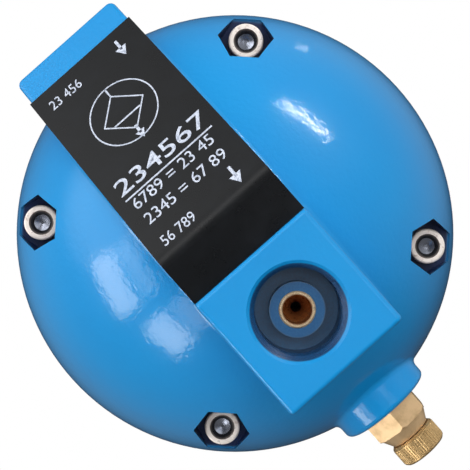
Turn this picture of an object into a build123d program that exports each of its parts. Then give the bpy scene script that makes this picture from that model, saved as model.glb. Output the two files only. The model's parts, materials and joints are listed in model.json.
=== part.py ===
"""Ball-shaped automatic drain valve with a direct float lever.

Frame: the origin is the centre of the inlet port's mouth, +Z points up out of
the inlet and -Y is the side that the outlet port faces. Units are millimetres.
Depths are measured forward (-Y) from the plane where the two castings part,
heights up from the ball's centre and drops down from it.
"""

import os
from math import atan2, degrees, pi

from build123d import *

# ---------------------------------------------------------------- driving sizes
# Ball casting
ball_radius = 56.0
seam_chamfer = 0.5  # breaks the rear casting's edge where the two meet
inlet_height = 61.0
inlet_depth = 14.5  # inlet and vent axes in front of the parting plane
cavity_radius = 40.0
cavity_depth = 50.0  # from the parting plane, each way

# Neck: the block that joins the inlet to the outlet
neck_width = 30.2
neck_top_depth = 29.3
neck_face_depth = 62.0
neck_bend_height = 6.0
neck_bend_radius = 7.0
neck_edge = 0.9
neck_top_edge = 1.7
casting_fillet = 1.9

# Outlet boss, with the post in its middle
outlet_width = 31.0
outlet_depth = 66.8
outlet_drop = 21.2
outlet_top_drop = 5.6
outlet_bottom_drop = 36.7
vent_hollow_height = 99.0  # under the outlet boss, where the vent boss's own corner starts
outlet_edge = 1.0
post_radius = 6.1
post_face_depth = 57.8
recess_radius = 9.3
recess_top_depth = 58.6  # where the thread ends
recess_floor_depth = 52.0

# G 1/2 ports, modelled at the pitch diameter
port_radius = 9.9
port_mouth_radius = 11.0
inlet_lead = 0.8
inlet_thread_length = 15.0
inlet_passage_radius = 6.0

# M5 cover screws in hexagonal pockets
screw_circle_radius = 47.0
screw_count = 4
screw_radius = 2.5
screw_head_radius = 4.25
screw_head_height = 5.0
screw_head_edge = 0.5
screw_socket = 4.0
screw_socket_depth = 2.6
screw_socket_mouth_radius = 3.0
screw_length = 30.0
screw_clearance_radius = 2.75
pocket_width = 11.6
pocket_floor_depth = 17.4
thread_gap = 0.02
tapped_allowance = 3.0  # hole past the screw's end

# Housing seal
ring_radius = 42.5
ring_width = 2.2
ring_depth = 1.6

# Nameplate
plate_thickness = 0.4
plate_top_height = 54.5
plate_lip = 0.85

# Pad inside the front casting
pad_depth = 41.0
pad_width = 20.0
pad_top_height = 1.0
pad_bottom_drop = 31.0
pad_corner = 3.0
pad_root = 9.0
pad_relief = 2.0
pad_relief_length = 12.0

# Valve seat, screwed through the pad, with the cage that guides the plug
seat_hole_radius = 4.05
seat_stem_radius = 4.0
seat_proud = 0.2
seat_outlet_radius = 3.2
seat_edge = 0.3
seat_outlet_floor_depth = 50.0
seat_cone_length = 2.0
seat_orifice_radius = 1.2
seat_flange_across = 12.0
seat_flange_thickness = 3.0
seat_lip_radius = 2.2
seat_lip_height = 0.5
seat_washer_thickness = 0.8
seat_washer_radius = 5.8
cage_radius = 5.7
cage_bore_radius = 4.55
cage_length = 10.0
cage_window_width = 4.0
cage_window_length = 5.0

# Plug
plug_radius = 4.5
plug_length = 5.0
plug_stem_radius = 2.5
plug_stem_past_pin = 3.0
plug_tip_radius = 3.0
plug_tip_length = 1.9
plug_tip_recess = 1.1
plug_gap = 0.02  # rubber tip to seat lip when shut

# Lever, its pivot and its bracket
pivot_depth = 22.0
pivot_drop = 10.0
pivot_pin_radius = 1.5
pivot_pin_length = 18.0
pivot_clip_radius = 3.2
pivot_clip_thickness = 0.6
pin_gap = 0.05
link_pin_radius = 1.25
link_pin_length = 13.2
link_slot_gap = 0.2
link_slot_run = 1.4
lever_gap = 9.0  # between the cheeks
lever_sheet = 1.5
lever_eye_radius = 4.0
lever_foot_radius = 2.85
lever_tab_height = 9.0
bracket_gap = 13.2  # between the ears
bracket_sheet = 1.5
bracket_top_drop = 1.0
bracket_bottom_drop = 28.7
bracket_eye_radius = 4.2
ear_root_top_drop = 3.5
ear_root_bottom_drop = 14.0
bracket_screw_drop = 6.2
bracket_screw_radius = 2.0
bracket_screw_length = 6.0
bracket_screw_head_radius = 3.5
bracket_screw_head_height = 2.4
bracket_hole_gap = 0.1

# Float
float_radius = 21.0
float_wall = 0.5
float_setback = 14.0  # behind the parting plane
float_drop = 14.0
float_boss_radius = 4.0
float_boss_height = 1.5
stud_radius = 2.0
stud_length = 6.5
stud_gap = 0.1
nut_across = 7.0
nut_height = 3.2

# Manual vent, G 1/8 in the boss under the ball
vent_boss_radius = 12.2
vent_boss_drop = 57.0
vent_boss_root = 30.0
vent_boss_edge = 1.3
vent_thread_radius = 4.57
vent_thread_length = 8.0
vent_hole_gap = 0.03
vent_hole_allowance = 2.0
vent_passage_radius = 1.5
vent_washer_radius = 6.1
vent_washer_thickness = 0.9
vent_hex_across = 14.0
vent_hex_length = 5.8
vent_hex_turn = 27.0  # degrees
vent_hex_flare = 7.5  # radius where the turned chamfer meets the hexagon's end
vent_cone_length = 3.1
vent_neck_radius = 5.3
vent_spigot_radius = 4.0
vent_spigot_length = 4.0
vent_bore_radius = 2.2
vent_seat_radius = 1.2
vent_seat_length = 3.0
knob_radius = 6.1
knob_length = 5.5
knob_edge = 0.5
knob_gap = 0.3
knob_bore_gap = 0.05
knob_end_wall = 1.3
knob_drain_radius = 0.7
knob_drain_circle = 2.9
needle_radius = 1.5
needle_head_radius = 2.1
needle_head_length = 1.5
needle_tip_length = 1.5
needle_tail_radius = 1.1
needle_rivet_radius = 1.6
needle_rivet_length = 0.4
needle_rivet_recess = 0.6

# ---------------------------------------------------------------- derived places
ball_y = inlet_depth
ball_z = -inlet_height
ball_centre = (0, ball_y, ball_z)
ball_axis = Axis(ball_centre, (0, -1, 0))
# Plane where the castings part: x across, y up, normal forward.
parting = Plane(origin=ball_centre, x_dir=(1, 0, 0), z_dir=(0, -1, 0))
outlet_z = ball_z - outlet_drop
outlet_line = Plane(origin=(0, ball_y, outlet_z), x_dir=(1, 0, 0), z_dir=(0, -1, 0))
vent_z = ball_z - vent_boss_drop

pad_height = pad_top_height + pad_bottom_drop
pad_middle = (pad_top_height - pad_bottom_drop) / 2
washer_front = pad_depth - bracket_sheet
flange_front = washer_front - seat_washer_thickness
flange_back = flange_front - seat_flange_thickness
seat_lip_depth = flange_back - seat_lip_height
plug_tip_front = seat_lip_depth - plug_gap
plug_front = plug_tip_front - plug_tip_length + plug_tip_recess
plug_back = plug_front - plug_length

pivot_y = ball_y - pivot_depth
pivot_z = ball_z - pivot_drop
arm_run = pivot_depth + float_setback
arm_rise = float_drop - pivot_drop
arm_tilt = degrees(atan2(-arm_rise, arm_run))
# Plane at the float's centre whose normal points at the lever's pivot.
arm_line = Plane(
    origin=(0, ball_y + float_setback, ball_z - float_drop), x_dir=(1, 0, 0), z_dir=(0, -arm_run, arm_rise)
)
tab_start = float_radius + float_boss_height
nut_start = tab_start + lever_sheet

hex_end_z = vent_z - vent_hex_length
neck_end_z = hex_end_z - vent_cone_length
knob_top_z = neck_end_z - knob_gap
knob_end_z = knob_top_z - knob_length
knob_floor_z = knob_end_z + knob_end_wall
vent_top_z = vent_z + vent_thread_length
needle_seat_z = vent_top_z - vent_seat_length


def forward(depth: float) -> float:
    """Y of a place that is this deep in front of the parting plane."""
    return ball_y - depth


def half_ball(direction: int) -> Sketch:
    """Quarter disc for the half ball in front of (1) or behind (-1) the parting plane."""
    side = Align.MAX if direction > 0 else Align.MIN
    with BuildSketch(Plane.YZ) as quarter:
        with Locations((ball_y, ball_z)):
            Circle(ball_radius)
            Rectangle(ball_radius, ball_radius, align=(side, Align.MIN), mode=Mode.INTERSECT)
    return quarter.sketch


def half_cavity(direction: int) -> Sketch:
    """Quarter ellipse for the float chamber on the same side of the parting plane."""
    side = Align.MAX if direction > 0 else Align.MIN
    with BuildSketch(Plane.YZ) as quarter:
        with Locations((ball_y, ball_z)):
            Ellipse(cavity_depth, cavity_radius)
            Rectangle(cavity_depth, cavity_radius, align=(side, Align.MIN), mode=Mode.INTERSECT)
    return quarter.sketch


def neck_side() -> Sketch:
    """Side view of the neck, y to the right and z up, from the inlet mouth to the outlet axis."""
    mouth = (forward(neck_top_depth), 0)
    bend = (forward(neck_face_depth), ball_z + neck_bend_height)
    foot = (forward(neck_face_depth), outlet_z)
    with BuildSketch() as side:
        with BuildLine():
            FilletPolyline(mouth, bend, foot, radius=neck_bend_radius)
            Polyline(foot, (ball_y, outlet_z), (ball_y, 0), mouth)
        make_face()
    return side.sketch


def plate_side(growth: float) -> Sketch:
    """The front of the neck's side view, grown, between the nameplate's ends."""
    top = ball_z + plate_top_height
    bottom = ball_z - outlet_top_drop
    with BuildSketch() as side:
        add(neck_side())
        offset(amount=growth, kind=Kind.INTERSECTION)
        with Locations((forward(neck_top_depth / 2), bottom)):
            Rectangle(outlet_depth, top - bottom, align=(Align.MAX, Align.MIN), mode=Mode.INTERSECT)
    return side.sketch


def upright(radius: float, low: float, high: float) -> Part:
    """Round bar on the inlet and vent axis between two heights of the frame."""
    with BuildPart(Plane.XY.offset(low)) as bar:
        Cylinder(radius, high - low, align=(Align.CENTER, Align.CENTER, Align.MIN))
    return bar.part


def level(radius: float, back: float, front: float) -> Part:
    """Round bar on the outlet axis between two depths."""
    with BuildPart(outlet_line.offset(back)) as bar:
        Cylinder(radius, front - back, align=(Align.CENTER, Align.CENTER, Align.MIN))
    return bar.part


def cross_pin(radius: float, length: float, depth: float, drop: float) -> Part:
    """Pin or hole across the valve at a depth and a drop."""
    with BuildPart(Plane(origin=(0, forward(depth), ball_z - drop), z_dir=(1, 0, 0))) as bar:
        Cylinder(radius, length)
    return bar.part


def ball_edges(piece: BuildPart) -> ShapeList[Edge]:
    """Edges along which something meets the outside of the ball."""
    def on_ball(edge: Edge) -> bool:
        reach = [(edge.position_at(share) - Vector(ball_centre)).length for share in (0.1, 0.5, 0.9)]
        return all(abs(length - ball_radius) < 0.01 for length in reach)

    return piece.edges().filter_by(lambda edge: on_ball(edge) and edge.length < pi * ball_radius)


def write(piece: BuildPart, name: str) -> None:
    """Label a finished piece and write its STEP file."""
    piece.part.label = name
    export_step(piece.part, f"parts/{name}.step")


os.makedirs("parts", exist_ok=True)

# ---------------------------------------------------------------- front housing
with BuildPart() as neck:
    with BuildSketch(Plane.YZ):
        add(neck_side())
    extrude(amount=neck_width / 2, both=True)
    fillet(neck.faces().sort_by(Axis.Z)[-1].edges().filter_by(Axis.Y), neck_top_edge)
    front_edges = neck.edges().filter_by(lambda edge: edge.bounding_box().max.Y < forward(neck_top_depth) + 0.01)
    fillet(front_edges.filter_by_position(Axis.Z, outlet_z + 1, 1), neck_edge)

with BuildPart() as outlet_boss:
    with BuildSketch(parting):
        with Locations((0, -(outlet_top_drop + outlet_bottom_drop) / 2)):
            Rectangle(outlet_width, outlet_bottom_drop - outlet_top_drop)
    extrude(amount=outlet_depth)
    front_face = outlet_boss.faces().sort_by(Axis.Y)[0]
    fillet(outlet_boss.edges().filter_by(Axis.Y) + front_face.edges(), outlet_edge)

with BuildPart() as vent_boss:
    add(upright(vent_boss_radius, vent_z, vent_z + vent_boss_root))
    fillet(vent_boss.edges().sort_by(Axis.Z)[0], vent_boss_edge)

with BuildPart() as front_housing:
    revolve(half_ball(1), axis=ball_axis)
    add(neck.part)
    add(outlet_boss.part)
    fillet(ball_edges(front_housing).filter_by_position(Axis.Z, -vent_hollow_height, 1), casting_fillet)
    add(vent_boss.part)
    fillet(ball_edges(front_housing).filter_by_position(Axis.Z, vent_z, -vent_hollow_height), casting_fillet)
    # float chamber, with the pad that carries the seat and the bracket
    revolve(half_cavity(1), axis=ball_axis, mode=Mode.SUBTRACT)
    with BuildSketch(parting.offset(pad_depth)):
        with Locations((0, pad_middle)):
            RectangleRounded(pad_width, pad_height, pad_corner)
    extrude(amount=pad_root)
    with BuildSketch(parting.offset(pad_depth)):
        with Locations((0, pad_middle)):
            RectangleRounded(pad_width + pad_relief, pad_height + pad_relief, pad_corner)
    extrude(amount=-pad_relief_length, mode=Mode.SUBTRACT)
    # inlet thread and the passage into the chamber
    add(upright(port_radius, -inlet_thread_length, 0), mode=Mode.SUBTRACT)
    chamfer(front_housing.edges().filter_by(GeomType.CIRCLE).sort_by(Axis.Z)[-1], inlet_lead)
    add(upright(inlet_passage_radius, ball_z, -inlet_thread_length), mode=Mode.SUBTRACT)
    # outlet thread, its lead-in cone and the recess around the post
    add(level(port_radius, recess_top_depth, outlet_depth), mode=Mode.SUBTRACT)
    chamfer(front_housing.edges().filter_by(GeomType.CIRCLE).sort_by(Axis.Y)[0], port_mouth_radius - port_radius)
    add(level(recess_radius, recess_floor_depth, recess_top_depth), mode=Mode.SUBTRACT)
    add(level(post_radius, recess_floor_depth, post_face_depth))
    add(level(seat_hole_radius, pad_depth - pad_relief, post_face_depth), mode=Mode.SUBTRACT)
    # tapped hole for the bracket's screw
    with Locations(parting.offset(pad_depth).location * Location((0, -bracket_screw_drop, 0))):
        Cylinder(bracket_screw_radius + thread_gap, 2 * bracket_screw_length, mode=Mode.SUBTRACT)
    # pockets and clearance holes for the cover screws
    with BuildSketch(parting.offset(pocket_floor_depth)):
        with PolarLocations(screw_circle_radius, screw_count, start_angle=45):
            RegularPolygon(pocket_width / 2, 6, major_radius=False, rotation=30)
    extrude(amount=ball_radius, mode=Mode.SUBTRACT)
    with BuildSketch(parting):
        with PolarLocations(screw_circle_radius, screw_count, start_angle=45):
            Circle(screw_clearance_radius)
    extrude(amount=pocket_floor_depth, mode=Mode.SUBTRACT)
    # vent thread, washer seat and passage
    thread_end = vent_z + vent_thread_length + vent_hole_allowance
    add(upright(vent_thread_radius + vent_hole_gap, vent_z, thread_end), mode=Mode.SUBTRACT)
    add(upright(vent_washer_radius, vent_z, vent_z + vent_washer_thickness), mode=Mode.SUBTRACT)
    add(upright(vent_passage_radius, thread_end, ball_z), mode=Mode.SUBTRACT)
write(front_housing, "front_housing")

# ---------------------------------------------------------------- rear housing
with BuildPart() as rear_housing:
    revolve(half_ball(-1), axis=ball_axis)
    chamfer(rear_housing.edges().sort_by(Axis.Y)[0], seam_chamfer)
    revolve(half_cavity(-1), axis=ball_axis, mode=Mode.SUBTRACT)
    with BuildSketch(parting):
        Circle(ring_radius + ring_width / 2)
        Circle(ring_radius - ring_width / 2, mode=Mode.SUBTRACT)
    extrude(amount=-ring_depth, mode=Mode.SUBTRACT)
    with BuildSketch(parting):
        with PolarLocations(screw_circle_radius, screw_count, start_angle=45):
            Circle(screw_radius + thread_gap)
    extrude(amount=-(screw_length - pocket_floor_depth + tapped_allowance), mode=Mode.SUBTRACT)
write(rear_housing, "rear_housing")

with BuildPart() as housing_o_ring:
    with BuildSketch(parting):
        Circle(ring_radius + ring_width / 2)
        Circle(ring_radius - ring_width / 2, mode=Mode.SUBTRACT)
    extrude(amount=-ring_depth)
    chamfer(housing_o_ring.edges(), ring_depth / 4)
write(housing_o_ring, "housing_o_ring")

# ---------------------------------------------------------------- cover screws
with BuildPart() as cover_screws:
    with BuildSketch(parting.offset(pocket_floor_depth - screw_length)):
        with PolarLocations(screw_circle_radius, screw_count, start_angle=45):
            Circle(screw_radius)
    extrude(amount=screw_length)
    with BuildSketch(parting.offset(pocket_floor_depth)):
        with PolarLocations(screw_circle_radius, screw_count, start_angle=45):
            Circle(screw_head_radius)
    extrude(amount=screw_head_height)
    fillet(cover_screws.edges().group_by(Axis.Y)[0], screw_head_edge)
    head_top = parting.offset(pocket_floor_depth + screw_head_height)
    with BuildSketch(head_top):
        with PolarLocations(screw_circle_radius, screw_count, start_angle=45):
            RegularPolygon(screw_socket / 2, 6, major_radius=False)
    extrude(amount=-screw_socket_depth, mode=Mode.SUBTRACT)
    with Locations(head_top):
        with PolarLocations(screw_circle_radius, screw_count, start_angle=45):
            lead_depth = screw_socket_mouth_radius - screw_socket / 2
            Cone(screw_socket / 2, screw_socket_mouth_radius, lead_depth,
                 align=(Align.CENTER, Align.CENTER, Align.MAX), mode=Mode.SUBTRACT)
write(cover_screws, "cover_screws")

# ---------------------------------------------------------------- nameplate
with BuildPart() as nameplate:
    with BuildSketch(Plane.YZ):
        add(plate_side(plate_thickness))
    extrude(amount=outlet_width / 2, both=True)
    with BuildSketch(Plane.YZ):
        add(neck_side())
    extrude(amount=neck_width / 2, both=True, mode=Mode.SUBTRACT)
    # leaves only the front and a lip along each side
    with BuildSketch(Plane.YZ):
        add(plate_side(-plate_lip))
    extrude(amount=outlet_width, both=True, mode=Mode.SUBTRACT)
write(nameplate, "nameplate")

# ---------------------------------------------------------------- valve seat
with BuildPart() as valve_seat:
    add(level(seat_stem_radius, flange_front, post_face_depth + seat_proud))
    with BuildSketch(outlet_line.offset(flange_back)):
        RegularPolygon(seat_flange_across / 2, 6, major_radius=False, rotation=30)
    extrude(amount=seat_flange_thickness)
    add(level(cage_radius, flange_back - cage_length, flange_back))
    add(level(cage_bore_radius, flange_back - cage_length, flange_back), mode=Mode.SUBTRACT)
    with BuildSketch(outlet_line.offset(flange_back)):
        Rectangle(seat_flange_across, cage_window_width)
        Rectangle(cage_window_width, seat_flange_across)
    extrude(amount=-cage_window_length, mode=Mode.SUBTRACT)
    add(level(seat_lip_radius, seat_lip_depth, flange_back))
    add(level(seat_orifice_radius, seat_lip_depth, post_face_depth), mode=Mode.SUBTRACT)
    add(level(seat_outlet_radius, seat_outlet_floor_depth, post_face_depth + seat_proud), mode=Mode.SUBTRACT)
    chamfer(valve_seat.faces().sort_by(Axis.Y)[0].edges(), seat_edge)
    with Locations(outlet_line.offset(seat_outlet_floor_depth)):
        Cone(seat_orifice_radius, seat_outlet_radius, seat_cone_length,
             align=(Align.CENTER, Align.CENTER, Align.MAX), mode=Mode.SUBTRACT)
write(valve_seat, "valve_seat")

with BuildPart() as seat_washer:
    add(level(seat_washer_radius, flange_front, washer_front))
    add(level(seat_hole_radius, flange_front, washer_front), mode=Mode.SUBTRACT)
write(seat_washer, "seat_washer")

# ---------------------------------------------------------------- plug
with BuildPart() as valve_plug:
    add(level(plug_radius, plug_back, plug_front))
    add(level(plug_stem_radius, pivot_depth - plug_stem_past_pin, plug_back))
    add(level(plug_tip_radius, plug_front - plug_tip_recess, plug_front), mode=Mode.SUBTRACT)
    add(cross_pin(link_pin_radius, lever_gap, pivot_depth, outlet_drop), mode=Mode.SUBTRACT)
write(valve_plug, "valve_plug")

with BuildPart() as plug_tip:
    add(level(plug_tip_radius, plug_front - plug_tip_recess, plug_tip_front))
    fillet(plug_tip.edges().sort_by(Axis.Y)[0], plug_tip_recess / 4)
write(plug_tip, "plug_tip")

with BuildPart() as link_pin:
    add(cross_pin(link_pin_radius, link_pin_length, pivot_depth, outlet_drop))
    chamfer(link_pin.edges().filter_by(GeomType.CIRCLE), link_pin_radius / 5)
write(link_pin, "link_pin")

# ---------------------------------------------------------------- float lever
with BuildPart() as float_lever:
    for side in (-1, 1):
        inner = side * lever_gap / 2
        with BuildSketch(Plane.YZ.offset(inner)) as arm:
            with Locations((pivot_y, pivot_z)):
                Circle(lever_eye_radius)
            tab_centre = arm_line.from_local_coords(Vector(0, 0, tab_start + lever_sheet / 2))
            with Locations(Location((tab_centre.Y, tab_centre.Z, 0), (0, 0, arm_tilt))):
                Rectangle(lever_sheet, lever_tab_height)
            make_hull()
        extrude(amount=side * lever_sheet)
        with BuildSketch(Plane.YZ.offset(inner)) as foot:
            with Locations((pivot_y, pivot_z)):
                Circle(lever_eye_radius)
            with Locations((pivot_y, outlet_z - link_slot_run / 4)):
                Circle(lever_foot_radius)
            make_hull()
        extrude(amount=side * lever_sheet)
    with BuildSketch(arm_line.offset(tab_start)):
        Rectangle(lever_gap + 2 * lever_sheet, lever_tab_height)
    extrude(amount=lever_sheet)
    with BuildSketch(Plane.YZ):
        with Locations((pivot_y, pivot_z)):
            Circle(pivot_pin_radius + pin_gap)
        with Locations(Location((pivot_y, outlet_z - link_slot_run / 4, 0), (0, 0, 90))):
            SlotCenterToCenter(link_slot_run, 2 * (link_pin_radius + link_slot_gap))
    extrude(amount=lever_gap, both=True, mode=Mode.SUBTRACT)
    with BuildSketch(arm_line.offset(tab_start)):
        Circle(stud_radius + stud_gap)
    extrude(amount=lever_sheet, mode=Mode.SUBTRACT)
write(float_lever, "float_lever")

# ---------------------------------------------------------------- float
with BuildPart() as float_ball:
    with Locations(arm_line):
        Sphere(float_radius)
    with BuildSketch(arm_line):
        Circle(float_boss_radius)
    extrude(amount=tab_start)
    with Locations(arm_line):
        Sphere(float_radius - float_wall, mode=Mode.SUBTRACT)
write(float_ball, "float_ball")

with BuildPart() as float_stud:
    with BuildSketch(arm_line.offset(tab_start)):
        Circle(stud_radius)
    extrude(amount=stud_length)
    chamfer(float_stud.edges().sort_by(Axis.Y)[0], stud_radius / 5)
write(float_stud, "float_stud")

with BuildPart() as float_nut:
    with BuildSketch(arm_line.offset(nut_start)):
        RegularPolygon(nut_across / 2, 6, major_radius=False)
        Circle(stud_radius + thread_gap, mode=Mode.SUBTRACT)
    extrude(amount=nut_height)
write(float_nut, "float_nut")

# ---------------------------------------------------------------- pivot
with BuildPart() as pivot_bracket:
    with BuildSketch(parting.offset(washer_front)):
        with Locations((0, -(bracket_top_drop + bracket_bottom_drop) / 2)):
            Rectangle(bracket_gap + 2 * bracket_sheet, bracket_bottom_drop - bracket_top_drop)
    extrude(amount=bracket_sheet)
    for side in (-1, 1):
        with BuildSketch(Plane.YZ.offset(side * bracket_gap / 2)) as ear:
            with Locations((pivot_y, pivot_z)):
                Circle(bracket_eye_radius)
            root_middle = ball_z - (ear_root_top_drop + ear_root_bottom_drop) / 2
            with Locations((forward(washer_front + bracket_sheet / 2), root_middle)):
                Rectangle(bracket_sheet, ear_root_bottom_drop - ear_root_top_drop)
            make_hull()
        extrude(amount=side * bracket_sheet)
    add(cross_pin(pivot_pin_radius + pin_gap, pivot_pin_length, pivot_depth, pivot_drop), mode=Mode.SUBTRACT)
    add(level(seat_hole_radius, washer_front, pad_depth), mode=Mode.SUBTRACT)
    with BuildSketch(parting.offset(washer_front)):
        with Locations((0, -bracket_screw_drop)):
            Circle(bracket_screw_radius + bracket_hole_gap)
    extrude(amount=bracket_sheet, mode=Mode.SUBTRACT)
write(pivot_bracket, "pivot_bracket")

with BuildPart() as bracket_screw:
    with BuildSketch(parting.offset(washer_front)):
        with Locations((0, -bracket_screw_drop)):
            Circle(bracket_screw_radius)
    extrude(amount=bracket_screw_length)
    with BuildSketch(parting.offset(washer_front)):
        with Locations((0, -bracket_screw_drop)):
            Circle(bracket_screw_head_radius)
    extrude(amount=-bracket_screw_head_height)
    fillet(bracket_screw.edges().sort_by(Axis.Y)[-1], bracket_screw_head_height / 3)
write(bracket_screw, "bracket_screw")

with BuildPart() as pivot_pin:
    add(cross_pin(pivot_pin_radius, pivot_pin_length, pivot_depth, pivot_drop))
    chamfer(pivot_pin.edges().filter_by(GeomType.CIRCLE), pivot_pin_radius / 6)
write(pivot_pin, "pivot_pin")

with BuildPart() as pivot_clips:
    for side in (-1, 1):
        with BuildSketch(Plane.YZ.offset(side * (bracket_gap / 2 + bracket_sheet))):
            with Locations((pivot_y, pivot_z)):
                Circle(pivot_clip_radius)
                Circle(pivot_pin_radius + thread_gap, mode=Mode.SUBTRACT)
                Rectangle(pivot_pin_radius, pivot_clip_radius, align=(Align.CENTER, Align.MAX), mode=Mode.SUBTRACT)
        extrude(amount=side * pivot_clip_thickness)
write(pivot_clips, "pivot_clips")

# ---------------------------------------------------------------- manual vent
with BuildPart() as vent_body:
    with BuildSketch(Plane.XY.offset(hex_end_z)):
        RegularPolygon(vent_hex_across / 2, 6, major_radius=False, rotation=vent_hex_turn)
    extrude(amount=vent_hex_length)
    # the turned chamfer leaves an arc on every flat
    with Locations(Plane.XY.offset(hex_end_z)):
        Cone(vent_hex_flare, vent_hex_flare + vent_hex_length, vent_hex_length,
             align=(Align.CENTER, Align.CENTER, Align.MIN), mode=Mode.INTERSECT)
    add(upright(vent_thread_radius, vent_z, vent_top_z))
    with Locations(Plane.XY.offset(neck_end_z)):
        Cone(vent_neck_radius, vent_hex_across / 2, vent_cone_length, align=(Align.CENTER, Align.CENTER, Align.MIN))
    add(upright(vent_spigot_radius, neck_end_z - vent_spigot_length, neck_end_z))
    add(upright(vent_seat_radius, needle_seat_z, vent_top_z), mode=Mode.SUBTRACT)
    add(upright(vent_bore_radius, neck_end_z - vent_spigot_length, needle_seat_z), mode=Mode.SUBTRACT)
write(vent_body, "vent_body")

with BuildPart() as vent_washer:
    add(upright(vent_washer_radius, vent_z, vent_z + vent_washer_thickness))
    add(upright(vent_thread_radius + vent_hole_gap, vent_z, vent_z + vent_washer_thickness), mode=Mode.SUBTRACT)
write(vent_washer, "vent_washer")

with BuildPart() as vent_needle:
    needle_top = needle_seat_z - plug_gap - needle_tip_length
    add(upright(needle_head_radius, needle_top - needle_head_length, needle_top))
    add(upright(needle_radius, knob_floor_z, needle_top - needle_head_length))
    rivet_top = knob_end_z + needle_rivet_recess
    add(upright(needle_tail_radius, rivet_top, knob_floor_z))
    add(upright(needle_rivet_radius, rivet_top - needle_rivet_length, rivet_top))
write(vent_needle, "vent_needle")

with BuildPart() as vent_needle_tip:
    add(upright(needle_head_radius, needle_top, needle_top + needle_tip_length))
write(vent_needle_tip, "vent_needle_tip")

with BuildPart() as vent_knob:
    add(upright(knob_radius, knob_end_z, knob_top_z))
    chamfer(vent_knob.edges().filter_by(GeomType.CIRCLE), knob_edge)
    add(upright(vent_spigot_radius + knob_bore_gap, knob_floor_z, knob_top_z), mode=Mode.SUBTRACT)
    add(upright(needle_tail_radius + knob_bore_gap, knob_end_z, knob_floor_z), mode=Mode.SUBTRACT)
    add(upright(needle_rivet_radius + 2 * knob_bore_gap, knob_end_z, rivet_top), mode=Mode.SUBTRACT)
    with BuildSketch(Plane.XY.offset(knob_end_z)):
        with PolarLocations(knob_drain_circle, screw_count):
            Circle(knob_drain_radius)
    extrude(amount=knob_end_wall, mode=Mode.SUBTRACT)
write(vent_knob, "vent_knob")
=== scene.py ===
"""Dresses the ball-shaped automatic drain valve and sets it in a plain studio.

Lengths are metres in the valve's own frame: the origin is the centre of the
inlet's mouth, +Z points up out of the inlet and -Y is the outlet side.
"""

from __future__ import annotations

import json
import logging
import math
from dataclasses import dataclass
from enum import Enum

import bmesh
import bpy
from mathutils import Matrix, Vector

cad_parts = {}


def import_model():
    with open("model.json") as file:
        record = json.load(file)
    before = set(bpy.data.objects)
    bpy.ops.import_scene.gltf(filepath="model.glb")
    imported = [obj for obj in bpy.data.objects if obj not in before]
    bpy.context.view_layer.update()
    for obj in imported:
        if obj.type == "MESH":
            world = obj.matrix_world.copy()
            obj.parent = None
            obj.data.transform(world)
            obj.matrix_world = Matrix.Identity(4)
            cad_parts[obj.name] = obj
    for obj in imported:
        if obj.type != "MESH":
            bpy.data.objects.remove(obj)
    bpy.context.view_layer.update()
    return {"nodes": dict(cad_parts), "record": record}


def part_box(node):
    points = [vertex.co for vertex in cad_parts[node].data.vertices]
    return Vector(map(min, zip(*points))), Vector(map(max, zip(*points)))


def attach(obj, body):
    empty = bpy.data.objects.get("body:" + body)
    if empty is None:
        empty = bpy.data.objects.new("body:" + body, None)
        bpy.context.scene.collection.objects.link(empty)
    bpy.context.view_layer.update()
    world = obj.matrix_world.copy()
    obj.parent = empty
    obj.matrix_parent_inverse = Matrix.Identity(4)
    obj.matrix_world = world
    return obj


MM = 0.001
VALVE_BODY = "valve_body"
# How far each cover screw's axis lies across from the ball's centre, and how far up or down.
SCREW_OFFSET = 33.23 * MM
# Vertices closer than this are one.
WELD_DISTANCE = 0.0004 * MM
LOG = logging.getLogger("drain_valve")

Colour = tuple[float, float, float]


def srgb(red: int, green: int, blue: int) -> Colour:
    """Linear colour of three 8-bit screen values."""
    shares = (red / 255, green / 255, blue / 255)
    return tuple(((s + 0.055) / 1.055) ** 2.4 if s > 0.04045 else s / 12.92 for s in shares)


# ------------------------------------------------------------------ shader maths
class Wire:
    """A node socket's output with arithmetic, so that masks read as expressions."""

    def __init__(self, nodes: Nodes, socket: bpy.types.NodeSocket) -> None:
        """Wrap one output socket of a node tree."""
        self.nodes = nodes
        self.socket = socket

    def _math(self, operation: str, *values: Wire | float) -> Wire:
        """Add one Math node.

        Args:
            operation: The Math node's operation.
            values: Its inputs in order.

        Returns:
            The node's output.
        """
        return self.nodes.add("ShaderNodeMath", {"operation": operation}, dict(enumerate(values)))

    def __add__(self, other: Wire | float) -> Wire:
        """Sum."""
        return self._math("ADD", self, other)

    __radd__ = __add__

    def __sub__(self, other: Wire | float) -> Wire:
        """Difference."""
        return self._math("SUBTRACT", self, other)

    def __rsub__(self, other: float) -> Wire:
        """Difference from a number."""
        return self._math("SUBTRACT", other, self)

    def __mul__(self, other: Wire | float) -> Wire:
        """Product."""
        return self._math("MULTIPLY", self, other)

    def __pow__(self, other: float) -> Wire:
        """Power."""
        return self._math("POWER", self, other)

    def __abs__(self) -> Wire:
        """Absolute value."""
        return self._math("ABSOLUTE", self)

    def below(self, limit: Wire | float) -> Wire:
        """1 where the value is under the limit, otherwise 0."""
        return self._math("LESS_THAN", self, limit)

    def ramp(self, low: float, high: float, at_low: float = 0.0, at_high: float = 1.0) -> Wire:
        """Go smoothly from one number to another.

        Args:
            low: The value where the slope begins.
            high: The value where it ends; it may be the smaller one.
            at_low: The result up to the low value.
            at_high: The result from the high value on.

        Returns:
            The smoothed value.
        """
        settings = {"interpolation_type": "SMOOTHSTEP"}
        limits = {"From Min": low, "From Max": high, "To Min": at_low, "To Max": at_high}
        return self.nodes.add("ShaderNodeMapRange", settings, {"Value": self, **limits})


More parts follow.
